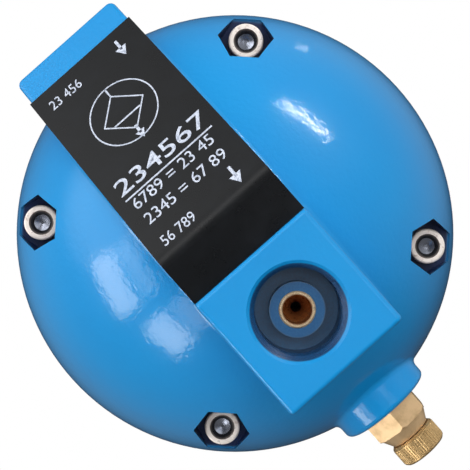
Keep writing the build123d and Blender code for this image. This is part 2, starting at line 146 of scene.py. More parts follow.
class Nodes:
    """A node tree with a short way to add and link nodes."""

    def __init__(self, tree: bpy.types.NodeTree, coordinates: str) -> None:
        """Take the tree and find its coordinates.

        Args:
            tree: The node tree.
            coordinates: The output of Texture Coordinate that its patterns use.
        """
        self.tree = tree
        self.place = self.add("ShaderNodeTexCoord", {}, {}, coordinates)

    def add(self, kind: str, settings: dict, inputs: dict, output: str | int = 0) -> Wire:
        """Add any node.

        Args:
            kind: The node's type.
            settings: Attributes to set before its sockets.
            inputs: Socket names or indices with their values or wires.
            output: The output to hand back.

        Returns:
            That output as a wire.
        """
        node = self.tree.nodes.new(kind)
        for key, value in settings.items():
            setattr(node, key, value)
        for key, value in inputs.items():
            self.feed(node.inputs[key], value)
        return Wire(self, node.outputs[output])

    def feed(self, socket: bpy.types.NodeSocket, value: object) -> None:
        """Link a wire into a socket, or set its value.

        Args:
            socket: The input socket.
            value: A wire, a number, a colour or a vector.
        """
        if isinstance(value, Wire):
            self.tree.links.new(value.socket, socket)
        elif socket.type == "RGBA":
            socket.default_value = (*value, 1.0)
        else:
            socket.default_value = value


class Shader(Nodes):
    """One material's node tree around a Principled shader."""

    def __init__(self, name: str) -> None:
        """Make the material and find its shader.

        Args:
            name: The material's name.
        """
        self.material = bpy.data.materials.new(name)
        self.material.use_nodes = True
        super().__init__(self.material.node_tree, "Object")
        self.principled = self.tree.nodes["Principled BSDF"]

    def set(self, **values: object) -> None:
        """Set or link the Principled shader's sockets, with spaces written as underscores."""
        for key, value in values.items():
            self.feed(self.principled.inputs[key.replace("_", " ")], value)

    def noise(self, size: float, detail: float = 2.0, roughness: float = 0.5) -> Wire:
        """Add a noise pattern.

        Args:
            size: Rough size of its cells in metres.
            detail: Finer layers on top of the first one.
            roughness: Strength of each layer against the one before.

        Returns:
            The noise, from 0 to 1.
        """
        inputs = {"Vector": self.place, "Scale": 1 / size, "Detail": detail, "Roughness": roughness}
        return self.add("ShaderNodeTexNoise", {}, inputs)

    def blend(self, amount: Wire | float, first: Wire | Colour, second: Wire | Colour) -> Wire:
        """Mix two colours.

        Args:
            amount: Share of the second colour.
            first: Colour at 0.
            second: Colour at 1.

        Returns:
            The mixed colour.
        """
        inputs = {0: amount, 6: first, 7: second}
        return self.add("ShaderNodeMix", {"data_type": "RGBA"}, inputs, 2)

    def axis(self, name: str) -> Wire:
        """One coordinate of the place on the valve."""
        return self.add("ShaderNodeSeparateXYZ", {}, {0: self.place}, name)

    def bump(self, height: Wire, depth: float, under: Wire | None = None) -> Wire:
        """Normal of a height pattern.

        Args:
            height: The pattern, from 0 to 1.
            depth: Its real depth in metres.
            under: Normal to add to.

        Returns:
            The new normal.
        """
        inputs: dict = {"Height": height, "Distance": depth, "Strength": 1.0}
        if under is not None:
            inputs["Normal"] = under
        return self.add("ShaderNodeBump", {}, inputs)


# ------------------------------------------------------------------ sizes
@dataclass(frozen=True)
class Layout:
    """Places that several sub-assemblies share, read from the frame.

    outlet is the middle of the outlet port's mount, outlet_face the y of the boss's face, and
    lowest the z of the vent knob's underside.
    """

    ball_radius: float
    ball_centre: Vector
    outlet: Vector
    outlet_face: float
    lowest: float

    @classmethod
    def read(cls, record: dict) -> Layout:
        """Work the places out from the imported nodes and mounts.

        Args:
            record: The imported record.

        Returns:
            The layout.
        """
        rear_low, rear_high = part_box("rear_housing")
        front_low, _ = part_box("front_housing")
        knob_low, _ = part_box("vent_knob")
        mounts = {mount["name"]: mount for mount in record["mounts"]}
        radius = rear_high.y - rear_low.y
        centre = Vector((0, rear_low.y, (rear_low.z + rear_high.z) / 2))
        outlet = Vector(mounts["outlet_port"]["pos_m"])
        return cls(radius, centre, outlet, front_low.y, knob_low.z)


# ------------------------------------------------------------------ finishes
@dataclass(frozen=True)
class GlossPaint:
    """Blue gloss paint over an aluminium casting."""

    colour: Colour = srgb(12, 136, 200)
    thin: Colour = srgb(8, 122, 188)
    shade: Colour = srgb(5, 30, 72)
    # The next three are darker blues painted in as shade inside the outlet port: its floor, its
    # threaded wall and its middle post.
    port: Colour = srgb(54, 88, 122)
    port_wall_shade: Colour = srgb(14, 46, 84)
    post_shade: Colour = srgb(4, 82, 134)
    tone_size: float = 38 * MM
    speck_size: float = 0.45 * MM
    cloud_size: float = 9 * MM
    sag_size: float = 4.2 * MM
    sag_height: float = 0.045 * MM
    peel_size: float = 1.1 * MM
    peel_height: float = 0.055 * MM
    pocket_reach: float = 7.4 * MM
    pocket_depths: tuple[float, float] = (0.1 * MM, 1.2 * MM)
    port_reach: float = 10.5 * MM
    port_depths: tuple[float, float] = (0.5 * MM, 0.8 * MM)
    port_behind: float = 45 * MM
    port_wall_reach: tuple[float, float] = (9.1 * MM, 9.3 * MM)
    post_reach: float = 5.9 * MM

    def pockets(self, s: Shader, layout: Layout) -> Wire:
        """Mask the walls of the four screw pockets, where painted shade goes.

        Args:
            s: The paint's shader.
            layout: The shared places.

        Returns:
            1 down in a pocket, 0 on the ball.
        """
        centre = layout.ball_centre
        x, back, up = s.axis("X"), s.axis("Y") - centre.y, s.axis("Z") - centre.z
        from_centre = (x * x + up * up + back * back) ** 0.5
        side = abs(x) - SCREW_OFFSET
        rise = abs(up) - SCREW_OFFSET
        near = (side * side + rise * rise).below(self.pocket_reach ** 2)
        shallow, deep = (layout.ball_radius - depth for depth in self.pocket_depths)
        return near * from_centre.ramp(shallow, deep)

    def outlet_axis(self, s: Shader, layout: Layout) -> Wire:
        """Distance from the outlet port's axis."""
        x, drop = s.axis("X"), s.axis("Z") - layout.outlet.z
        return (x * x + drop * drop) ** 0.5

    def port_inside(self, s: Shader, layout: Layout, off_axis: Wire) -> Wire:
        """Mask the inside of the outlet port, where painted shade goes.

        Args:
            s: The paint's shader.
            layout: The shared places.
            off_axis: Distance from the port's axis.

        Returns:
            1 in the port, 0 on the boss's face.
        """
        y = s.axis("Y")
        inside = (y - layout.outlet_face).ramp(*self.port_depths)
        in_front = y.below(layout.ball_centre.y - self.port_behind)
        return off_axis.below(self.port_reach) * inside * in_front

    def material(self, layout: Layout) -> bpy.types.Material:
        """Build the paint: gloss coat, orange peel, and painted shade down in the pockets and the port.

        Args:
            layout: The shared places.

        Returns:
            The material.
        """
        s = Shader("blue_gloss_paint")
        pocket = self.pockets(s, layout)
        off_axis = self.outlet_axis(s, layout)
        port = self.port_inside(s, layout, off_axis)
        tone = s.noise(self.tone_size, 3.0)
        colour = s.blend(tone.ramp(0.3, 0.75) * 0.35, self.colour, self.thin)
        speck = s.noise(self.speck_size, 3.0).ramp(0.35, 0.7)
        # Painted shade inside the outlet port: darkest on the threaded wall, a deeper blue on the
        # middle post.
        bore_shade = s.blend(off_axis.ramp(*self.port_wall_reach), self.port, self.port_wall_shade)
        bore_shade = s.blend(off_axis.below(self.post_reach) * (1 - speck * 0.3), bore_shade, self.post_shade)
        colour = s.blend(port * (0.98 - speck * 0.12), colour, bore_shade)
        # Painted shade down the walls of the screw pockets.
        colour = s.blend(pocket, colour, self.shade)
        rough = 0.05 + s.noise(self.cloud_size, 4.0) * 0.06 + (port + pocket) * 0.25
        grain = s.bump(s.noise(self.sag_size, 1.0), self.sag_height)
        grain = s.bump(s.noise(self.peel_size, 3.0), self.peel_height, grain)
        s.set(Base_Color=colour, Roughness=rough, Normal=grain)
        s.set(Coat_Weight=0.3, Coat_Roughness=0.28, IOR=1.42)
        return s.material


@dataclass(frozen=True)
class PlateBlack:
    """Black printed sheet with a fine satin grain."""

    colour: Colour = srgb(7, 9, 12)
    worn: Colour = srgb(16, 19, 24)
    tone_size: float = 6 * MM
    fleck_size: float = 0.5 * MM
    fleck_height: float = 0.006 * MM

    def material(self) -> bpy.types.Material:
        """Build the black sheet.

        Returns:
            The material.
        """
        s = Shader("nameplate_black")
        tone = s.noise(self.tone_size, 5.0, 0.6)
        fleck = s.noise(self.fleck_size, 2.0)
        s.set(Base_Color=s.blend(tone.ramp(0.45, 0.8) * 0.5, self.colour, self.worn))
        s.set(Roughness=0.2 + tone * 0.12 + fleck * 0.06)
        s.set(Normal=s.bump(fleck, self.fleck_height), IOR=1.46)
        return s.material


@dataclass(frozen=True)
class PrintInk:
    """Pale silver ink."""

    colour: Colour = srgb(192, 199, 214)
    thin: Colour = srgb(146, 155, 172)
    cover_size: float = 0.8 * MM
    cover_height: float = 0.004 * MM

    def material(self) -> bpy.types.Material:
        """Build the ink, a little thin in places.

        Returns:
            The material.
        """
        s = Shader("silver_ink")
        cover = s.noise(self.cover_size, 4.0, 0.65)
        s.set(Base_Color=s.blend(cover.ramp(0.4, 0.7), self.colour, self.thin))
        s.set(Roughness=0.42 + cover * 0.2)
        s.set(Normal=s.bump(cover, self.cover_height))
        return s.material


@dataclass(frozen=True)
class Metal:
    """A bare metal with fine machining marks, drawn out level, and a little staining."""

    name: str
    colour: Colour
    stain: Colour
    roughness: float
    metallic: float = 1.0
    stain_size: float = 3.5 * MM
    mark_size: float = 0.35 * MM
    mark_height: float = 0.004 * MM
    mark_stretch: tuple[float, float, float] = (0.25, 0.25, 1.0)

    def material(self) -> bpy.types.Material:
        """Build the metal.

        Returns:
            The material.
        """
        s = Shader(self.name)
        cloud = s.noise(self.stain_size, 5.0, 0.6)
        stretched = s.add("ShaderNodeMapping", {}, {"Vector": s.place, "Scale": self.mark_stretch})
        pattern = {"Vector": stretched, "Scale": 1 / self.mark_size, "Detail": 2.0}
        lines = s.add("ShaderNodeTexNoise", {}, pattern)
        s.set(Base_Color=s.blend(cloud.ramp(0.42, 0.75) * 0.5, self.colour, self.stain))
        s.set(Roughness=self.roughness + cloud * 0.12 + lines * 0.1)
        s.set(Normal=s.bump(lines, self.mark_height), Metallic=self.metallic)
        return s.material


@dataclass(frozen=True)
class ScrewSteel:
    """Socket screws: bright heads with random brown stains, painted shade down in the socket and a
    darker ring of painted shade round its mouth.
    """

    bright: Colour = srgb(250, 240, 232)
    stain: Colour = srgb(150, 112, 92)
    # The next two are painted shade: down in the socket, and in a ring round its mouth.
    socket: Colour = srgb(52, 56, 66)
    rim: Colour = srgb(34, 22, 20)
    socket_radius: float = 2.62 * MM
    rim_radius: float = 2.98 * MM
    stain_size: float = 1.6 * MM
    grain_size: float = 0.4 * MM
    grain_height: float = 0.012 * MM

    def material(self, layout: Layout) -> bpy.types.Material:
        """Build the screw steel.

        Args:
            layout: The shared places.

        Returns:
            The material.
        """
        s = Shader("screw_stainless")
        side = abs(s.axis("X")) - SCREW_OFFSET
        rise = abs(s.axis("Z") - layout.ball_centre.z) - SCREW_OFFSET
        reach = (side * side + rise * rise) ** 0.5
        # Painted shade down in the socket and, darkest, in a ring round its mouth.
        inside = reach.below(self.socket_radius)
        mouth_shade = reach.below(self.rim_radius) - inside
        cloud = s.noise(self.stain_size, 5.0, 0.65)
        colour = s.blend(cloud.ramp(0.52, 0.74) * 0.7, self.bright, self.stain)
        colour = s.blend(mouth_shade * 0.85, colour, self.rim)
        colour = s.blend(inside * 0.95, colour, self.socket)
        s.set(Base_Color=colour, Metallic=0.3 + inside * 0.5, Roughness=0.2 + cloud * 0.2)
        s.set(Normal=s.bump(s.noise(self.grain_size, 2.0), self.grain_height))
        return s.material


@dataclass(frozen=True)
class SeatBrass:
    """Turned seat: a bright rim round a darker brown bowl, with painted shade deepening towards the
    bowl's bottom.
    """

    rim: Colour = srgb(240, 214, 176)
    bowl: Colour = srgb(184, 118, 68)
    # deep is painted shade towards the bottom of the bowl.
    deep: Colour = srgb(112, 60, 30)
    rim_inside: float = 3.25 * MM
    rim_blend: tuple[float, float] = (3.33 * MM, 3.15 * MM)
    bowl_bottom: float = 0.8 * MM
    stain_size: float = 0.9 * MM
    grain_size: float = 0.35 * MM
    grain_height: float = 0.008 * MM

    def material(self, layout: Layout) -> bpy.types.Material:
        """Build the seat's brass.

        Args:
            layout: The shared places.

        Returns:
            The material.
        """
        s = Shader("seat_brass_turned")
        x, drop = s.axis("X"), s.axis("Z") - layout.outlet.z
        reach = (x * x + drop * drop) ** 0.5
        cloud = s.noise(self.stain_size, 4.0, 0.6)
        # Painted shade: the bowl darkens towards its bottom.
        bowl = s.blend(reach.ramp(self.rim_inside, self.bowl_bottom), self.bowl, self.deep)
        inside = reach.ramp(*self.rim_blend)
        rim = s.blend(cloud.ramp(0.45, 0.75) * 0.5, self.rim, self.bowl)
        colour = s.blend(inside, rim, bowl)
        s.set(Base_Color=colour, Metallic=0.45 + inside * 0.2, Roughness=0.2 + cloud * 0.16)
        s.set(Normal=s.bump(s.noise(self.grain_size, 2.0), self.grain_height))
        return s.material


@dataclass(frozen=True)
class Rubber:
    """Black seal rubber with a dull bloom."""

    colour: Colour = srgb(26, 26, 27)
    bloom: Colour = srgb(52, 52, 53)
    bloom_size: float = 2.5 * MM
    grain_size: float = 0.3 * MM
    grain_height: float = 0.01 * MM

    def material(self) -> bpy.types.Material:
        """Build the rubber.

        Returns:
            The material.
        """
        s = Shader("seal_rubber_black")
        bloom = s.noise(self.bloom_size, 4.0)
        s.set(Base_Color=s.blend(bloom.ramp(0.5, 0.8), self.colour, self.bloom))
        s.set(Roughness=0.6 + bloom * 0.2)
        s.set(Normal=s.bump(s.noise(self.grain_size), self.grain_height))
        return s.material


# ------------------------------------------------------------------ shared mesh tools
def finish_piece(
    name: str, bm: bmesh.types.BMesh, material: bpy.types.Material, body: str
) -> None:
    """Turn a bmesh into a piece that rides on a body.

    Args:
        name: The piece's name.
        bm: Its shape in the valve's frame; freed here.
        material: Its finish.
        body: The body it moves with.
    """
    bmesh.ops.remove_doubles(bm, verts=bm.verts, dist=WELD_DISTANCE)
    bmesh.ops.recalc_face_normals(bm, faces=bm.faces)
    mesh = bpy.data.meshes.new(name)
    bm.to_mesh(mesh)
    bm.free()
    mesh.materials.append(material)
    piece = bpy.data.objects.new(name, mesh)
    bpy.context.collection.objects.link(piece)
    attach(piece, body)
    LOG.info("%s: %d faces on %s", name, len(mesh.polygons), body)


def verts_of(geometry: list) -> list[bmesh.types.BMVert]:
    """Only the vertices among a bmesh operator's results."""
    return [item for item in geometry if isinstance(item, bmesh.types.BMVert)]


def dress(node: bpy.types.Object, material: bpy.types.Material) -> None:
    """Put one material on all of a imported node.

    Args:
        node: The node's object.
        material: Its finish.
    """
    node.data.materials.clear()
    node.data.materials.append(material)
    LOG.info("%s: %s", node.name, material.name)


# ------------------------------------------------------------------ ports
@dataclass
class PipeThread:
    """Ridges of a G 1/2 thread inside one port.

    The profile lies on the port's wall and spins down the port, `steps` times a turn.
    """

    name: str
    mouth: Vector
    inward: Vector
    start: float
    length: float
    material: bpy.types.Material
    wall_radius: float = 9.93 * MM
    crest_radius: float = 9.36 * MM
    pitch: float = 1.814 * MM
    root_half: float = 0.72 * MM
    crest_half: float = 0.14 * MM
    steps: int = 56

    def build(self) -> None:
        """Wind one closed ridge along the port."""
        turns = (self.length - 2 * self.root_half) / self.pitch
        bm = bmesh.new()
        base = self.mouth + self.inward * (self.start + self.root_half)
        corners = (
            (self.wall_radius, -self.root_half), (self.wall_radius, self.root_half),
            (self.crest_radius, self.crest_half), (self.crest_radius, -self.crest_half),
        )
        places = [base + Vector((radius, 0, 0)) + self.inward * along for radius, along in corners]
        profile = bm.faces.new([bm.verts.new(place) for place in places])
        count = round(turns * self.steps)
        bmesh.ops.spin(
            bm, geom=[profile], cent=base, axis=self.inward,
            dvec=self.inward * (self.pitch / self.steps), angle=2 * math.pi * count / self.steps,
            steps=count, use_merge=False, use_duplicate=False,
        )
        finish_piece(self.name, bm, self.material, VALVE_BODY)


# ------------------------------------------------------------------ vent
@dataclass
class KnobKnurl:
    """Straight knurl around the vent knob."""

    material: bpy.types.Material
    ridges: int = 54
    proud: float = 0.1 * MM
    sunk: float = 0.12 * MM
    margin: float = 0.55 * MM
    bevel: float = 0.3 * MM
    level: float = 0.0001 * MM

    def build(self) -> None:
        """Raise fine ridges on the knob's round side."""
        low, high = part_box("vent_knob")
        radius = (high.x - low.x) / 2
        crest, root = radius + self.proud, radius - self.sunk
        bm = bmesh.new()
        bmesh.ops.create_cone(
            bm, cap_ends=True, segments=2 * self.ridges, radius1=crest, radius2=crest,
            depth=high.z - low.z - 2 * self.margin,
        )
        rims = [e for e in bm.edges if abs(e.verts[0].co.z - e.verts[1].co.z) < self.level]
        bmesh.ops.bevel(
            bm, geom=rims, offset=self.bevel, offset_type="OFFSET", affect="EDGES", segments=2,
            profile=0.5, material=-1,
        )
        for vert in bm.verts:
            turn = math.atan2(vert.co.y, vert.co.x) * self.ridges / math.pi
            if round(turn) % 2:
                vert.co.xy *= root / crest
        bmesh.ops.translate(bm, verts=bm.verts, vec=(low + high) / 2)
        finish_piece("vent_knob_knurl", bm, self.material, "vent_handwheel")


# ------------------------------------------------------------------ cover screws
@dataclass
class SocketFloors:
    """Dished floors that the broach leaves at the bottom of the four screw sockets.

    Each of the rings is a step inwards and the share of the dish's depth that it reaches.
    """

    material: bpy.types.Material
    layout: Layout
    top_depth: float = 20.4 * MM
    radius: float = 1.96 * MM
    thickness: float = 0.55 * MM
    dish: float = 0.4 * MM
    rings: tuple[tuple[float, float], ...] = ((0.5 * MM, 0.3), (0.6 * MM, 0.7), (0.5 * MM, 0.95))

    def build(self) -> None:
        """Shape one dished disc, and set a copy into each socket."""
        bm = bmesh.new()
        bmesh.ops.create_cone(
            bm, cap_ends=True, segments=32, radius1=self.radius, radius2=self.radius,
            depth=self.thickness,
        )
        top = max(bm.faces, key=lambda face: face.calc_center_median().z)
        for width, share in self.rings:
            bmesh.ops.inset_region(
                bm, faces=[top], thickness=width, use_boundary=True, use_even_offset=True
            )
            for vert in top.verts:
                vert.co.z = self.thickness / 2 - self.dish * share
        forward = Matrix.Rotation(math.radians(90), 3, "X")
        bmesh.ops.rotate(bm, verts=bm.verts, cent=(0, 0, 0), matrix=forward)
        template = list(bm.verts)
        disc = template + list(bm.edges) + list(bm.faces)
        for across in (-SCREW_OFFSET, SCREW_OFFSET):
            for rise in (-SCREW_OFFSET, SCREW_OFFSET):
                made = bmesh.ops.duplicate(bm, geom=disc)["geom"]
                place = self.layout.ball_centre + Vector((across, -self.top_depth, rise))
                bmesh.ops.translate(bm, verts=verts_of(made), vec=place)
        bmesh.ops.delete(bm, geom=template, context="VERTS")
        finish_piece("socket_floors", bm, self.material, VALVE_BODY)


# ------------------------------------------------------------------ nameplate
class Anchor(Enum):
    """Which part of a row of figures stands at its x."""

    LEFT = "LEFT"
    MIDDLE = "CENTER"


@dataclass(frozen=True)
class Row:
    """One row of plain figures.

    x and drop place it across the plate and below the plate's top edge, height is its type
    size, width is its whole length, and weight thickens its strokes. All are millimetres.
    """

    name: str
    text: str
    x: float
    drop: float
    height: float
    width: float
    anchor: Anchor = Anchor.MIDDLE
    weight: float = 0.0


ROWS = (
    Row("figures_inlet", "23 456", -12.2, 6.2, 3.9, 9.0, Anchor.LEFT),
    Row("figures_large", "234567", 0.0, 37.4, 6.0, 25.6, weight=0.03),
    Row("figures_upper", "6789 = 23 45", -0.4, 42.6, 4.3, 22.6),
    Row("figures_lower", "2345 = 67 89", -0.4, 47.6, 4.3, 22.6),
    Row("figures_outlet", "56 789", -12.2, 54.4, 3.9, 9.0, Anchor.LEFT),
)


@dataclass(frozen=True)
class DrainSymbol:
    """Sizes of the plain drain symbol: a diamond with its liquid level, in a circle."""

    drop: float = 20.0 * MM
    radius: float = 8.6 * MM
    circle_sides: int = 48
    diamond: float = 6.0 * MM
    level_drop: float = 1.6 * MM
    level_width: float = 7.6 * MM
    inlet_rise: float = 7.2 * MM
    inlet_length: float = 2.8 * MM
    arrow_drop: float = 6.6 * MM
    arrow_size: float = 3.4 * MM


@dataclass
class NameplatePrint:
    """Plain marks printed on the nameplate's slope: number rows, arrows and a drain symbol.

    Each mark is shaped in the print's own plane, x across the plate and y up its slope from
    the top edge, and then laid on the slope.
    """

    material: bpy.types.Material
    plate: bpy.types.Object
    ink: float = 0.012 * MM
    lift: float = 0.01 * MM
    line: float = 0.42 * MM
    probe_drops: tuple[float, float] = (6 * MM, 36 * MM)
    probe_start: float = 200 * MM
    arrow_x: float = 9.2 * MM
    arrow_size: float = 4.2 * MM
    inlet_arrow_drop: float = 4.9 * MM
    outlet_arrow_drop: float = 51.9 * MM
    rule_drop: float = 38.9 * MM
    rule_width: float = 25.2 * MM
    figure_steps: int = 4

    def __post_init__(self) -> None:
        """Find the slope's plane on the plate."""
        _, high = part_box("nameplate")
        top, bottom = (self.hit(high.z - drop) for drop in self.probe_drops)
        self.down = (bottom - top).normalized()
        self.out = Vector((1, 0, 0)).cross(-self.down).normalized()
        self.top = top + self.down * ((high.z - top.z) / self.down.z)

    def hit(self, z: float) -> Vector:
        """Find the plate's front at a height.

        Args:
            z: The height.

        Returns:
            The point on its middle line.

        Raises:
            RuntimeError: The plate doesn't reach that height.
        """
        start = Vector((0, -self.probe_start, z))
        found, place, _, _ = self.plate.ray_cast(start, Vector((0, 1, 0)))
        if not found:
            raise RuntimeError("the nameplate has no front at this height")
        return place

    def turn(self) -> Matrix:
        """Turn and place of the print: x across, y up the slope, z out of the plate."""
        basis = Matrix((Vector((1, 0, 0)), -self.down, self.out)).transposed().to_4x4()
        return Matrix.Translation(self.top + self.out * self.lift) @ basis

    def bar(self, bm: bmesh.types.BMesh, x: float, drop: float, width: float, height: float) -> None:
        """Add one printed bar.

        Args:
            bm: The print's shape so far.
            x: The bar's middle across the plate.
            drop: Its middle below the plate's top edge.
            width: Its size across the plate.
            height: Its size down the plate.
        """
        made = bmesh.ops.create_cube(bm, size=1.0)["verts"]
        bmesh.ops.scale(bm, verts=made, vec=(width, height, self.ink))
        bmesh.ops.translate(bm, verts=made, vec=(x, -drop, self.ink / 2))

    def ring(self, bm: bmesh.types.BMesh, drop: float, radius: float, sides: int) -> None:
        """Add one printed outline with equal sides, a circle where they are many.

        Args:
            bm: The print's shape so far.
            drop: The outline's middle below the plate's top edge.
            radius: Its corner radius.
            sides: How many sides it has.
        """
        made = bmesh.ops.create_circle(bm, cap_ends=True, segments=sides, radius=radius)["verts"]
        face = next(f for f in bm.faces if set(f.verts) == set(made))
        inset = bmesh.ops.inset_region(
            bm, faces=[face], thickness=self.line * 0.8, use_even_offset=True, use_boundary=True
        )["faces"]
        bmesh.ops.delete(bm, geom=[face], context="FACES_ONLY")
        flat = set(made) | {vert for f in inset for vert in f.verts}
        raised = verts_of(bmesh.ops.extrude_face_region(bm, geom=inset)["geom"])
        bmesh.ops.translate(bm, verts=raised, vec=(0, 0, self.ink))
        bmesh.ops.translate(bm, verts=list(flat | set(raised)), vec=(0, -drop, 0))

    def arrow(self, bm: bmesh.types.BMesh, x: float, drop: float, size: float) -> None:
        """Add one arrow that points down the plate.

        Args:
            bm: The print's shape so far.
            x: The arrow's middle across the plate.
            drop: Its middle below the plate's top edge.
            size: Its length.
        """
        self.bar(bm, x, drop - size * 0.12, self.line * 1.7, size * 0.76)
        reach = size * 0.42
        made = bmesh.ops.create_cone(
            bm, cap_ends=True, segments=3, radius1=reach, radius2=reach, depth=self.ink
        )["verts"]
        point_down = Matrix.Rotation(math.radians(180), 3, "Z")
        bmesh.ops.rotate(bm, verts=made, cent=(0, 0, 0), matrix=point_down)
        bmesh.ops.translate(bm, verts=made, vec=(x, -drop - size * 0.3, self.ink / 2))

    def figures(self, row: Row) -> bmesh.types.BMesh:
        """Shape one row of plain figures, stretched to its width.

        Args:
            row: The row.

        Returns:
            Its shape in the print's plane.
        """
        curve = bpy.data.curves.new("figures", "FONT")
        curve.body = row.text
        curve.size = row.height * MM
        curve.align_x = row.anchor.value
        curve.offset = row.weight * MM
        curve.extrude = self.ink / 2
        curve.resolution_u = self.figure_steps
        holder = bpy.data.objects.new("figures", curve)
        bpy.context.collection.objects.link(holder)
        bpy.context.view_layer.update()
        depsgraph = bpy.context.evaluated_depsgraph_get()
        mesh = bpy.data.meshes.new_from_object(holder.evaluated_get(depsgraph))
        bm = bmesh.new()
        bm.from_mesh(mesh)
        bpy.data.objects.remove(holder)
        bpy.data.curves.remove(curve)
        bpy.data.meshes.remove(mesh)
        reach = max(v.co.x for v in bm.verts) - min(v.co.x for v in bm.verts)
        bmesh.ops.scale(bm, verts=bm.verts, vec=(row.width * MM / reach, 1, 1))
        place = (row.x * MM, -row.drop * MM, self.ink / 2)
        bmesh.ops.translate(bm, verts=bm.verts, vec=place)
        return bm

    def symbol(self, sizes: DrainSymbol) -> bmesh.types.BMesh:
        """Shape the drain symbol.

        Args:
            sizes: Its sizes.

        Returns:
            Its shape in the print's plane.
        """
        bm = bmesh.new()
        self.ring(bm, sizes.drop, sizes.radius, sizes.circle_sides)
        self.ring(bm, sizes.drop, sizes.diamond, 4)
        self.bar(bm, 0, sizes.drop + sizes.level_drop, sizes.level_width, self.line)
        self.bar(bm, 0, sizes.drop - sizes.inlet_rise, self.line, sizes.inlet_length)
        self.arrow(bm, 0, sizes.drop + sizes.arrow_drop, sizes.arrow_size)
        return bm

    def signs(self) -> bmesh.types.BMesh:
        """Shape the two flow arrows and the rule under the large figures.

        Returns:
            Their shape in the print's plane.
        """
        bm = bmesh.new()
        self.arrow(bm, self.arrow_x, self.inlet_arrow_drop, self.arrow_size)
        self.arrow(bm, self.arrow_x, self.outlet_arrow_drop, self.arrow_size)
        self.bar(bm, 0, self.rule_drop, self.rule_width, self.line)
        return bm

    def put(self, name: str, bm: bmesh.types.BMesh) -> None:
        """Lay a shape on the slope and make it a piece."""
        bmesh.ops.transform(bm, matrix=self.turn(), verts=bm.verts)
        finish_piece(name, bm, self.material, VALVE_BODY)

    def build(self) -> None:
        """Print every mark."""
        for row in ROWS:
            self.put(row.name, self.figures(row))
        self.put("drain_symbol", self.symbol(DrainSymbol()))
        self.put("arrows_and_rule", self.signs())


# ------------------------------------------------------------------ studio
@dataclass(frozen=True)
class Lamp:
    """One soft lamp that faces the ball.

    towards is the direction from the ball to the lamp, size its width and height, radiance how
    bright its face is, and glossy whether its shape shows in gloss.
    """

    name: str
    towards: tuple[float, float, float]
    size: tuple[float, float]
    radiance: float
    distance: float
    glossy: bool = True


STUDIO_LAMPS = (
    Lamp("side_strip", (0.902, -0.337, 0.272), (0.032, 0.40), 52.0, 1.0),
    Lamp("small_lamp", (0.764, 0.489, 0.42), (0.022, 0.022), 24.0, 1.0),
    Lamp("top_box", (-0.2, 0.25, 1.0), (1.0, 0.9), 2.1, 1.3, glossy=False),
    Lamp("top_soft", (-0.1, -0.1, 1.0), (1.4, 1.0), 1.2, 1.4, glossy=False),
    Lamp("back_card", (0.31, -0.95, 0.0), (0.3, 0.5), 0.8, 1.0),
    Lamp("bend_card", (0.0, -0.86, 0.51), (0.5, 0.2), 1.9, 1.0),
    Lamp("right_fill", (0.95, -0.4, 0.1), (0.8, 0.8), 2.2, 1.2, glossy=False),
    Lamp("front_fill", (0.2, -1.0, 0.15), (1.0, 1.0), 3.3, 1.2, glossy=False),
)


@dataclass(frozen=True)
class Glow:
    """Soft brightness of the room round one direction, seen in gloss only.

    starts and full are cosines of the angle from that direction. The strength goes from least
    at the first to most at the second.
    """

    towards: tuple[float, float, float]
    starts: float
    full: float
    least: float
    most: float


ROOM_GLOWS = (
    Glow((0, -1, 0), -0.1, 0.8, 0.0, 0.06),
    Glow((0, 0, 1), 0.0, 0.8, 0.03, 0.18),
    Glow((1, 0, 0), 0.25, 0.9, 0.0, 0.42),
    Glow((-0.53, -0.36, 0.76), 0.82, 0.985, 0.0, 1.5),
    Glow((0, -0.478, 0.878), 0.9, 0.98, 0.0, 0.36),
    Glow((-1, 0, 0), 0.2, 0.9, 0.0, 0.25),
    Glow((0, 0, -1), 0.1, 0.8, 0.0, 0.07),
)


@dataclass(frozen=True)
class Window:
    """A window to the left of four panes, which lean a little from row to row.

    A column is its bearing in degrees from the left, its width and its share of the radiance.
    A row is its height above the ball in degrees and its own height.
    """

    columns: tuple[tuple[float, float, float], ...] = ((27, 0.12, 1.0), (43, 0.07, 0.4))
    rows: tuple[tuple[float, float], ...] = ((17, 0.2), (-13, 0.14))
    lean: float = 6.0
    radiance: float = 5.8
    distance: float = 0.45

    def panes(self) -> list[Lamp]:
        """List the panes as lamps.

        Returns:
            One lamp for each pane.
        """
        lamps = []
        for column, (bearing, width, share) in enumerate(self.columns):
            for row, (lift, height) in enumerate(self.rows):
                turn, rise = math.radians(bearing + self.lean * row), math.radians(lift)
                level = math.cos(rise)
                towards = (-math.cos(turn) * level, -math.sin(turn) * level, math.sin(rise))
                name = f"window_pane_{column}_{row}"
                lamps.append(Lamp(name, towards, (width, height), self.radiance * share, self.distance))
        return lamps


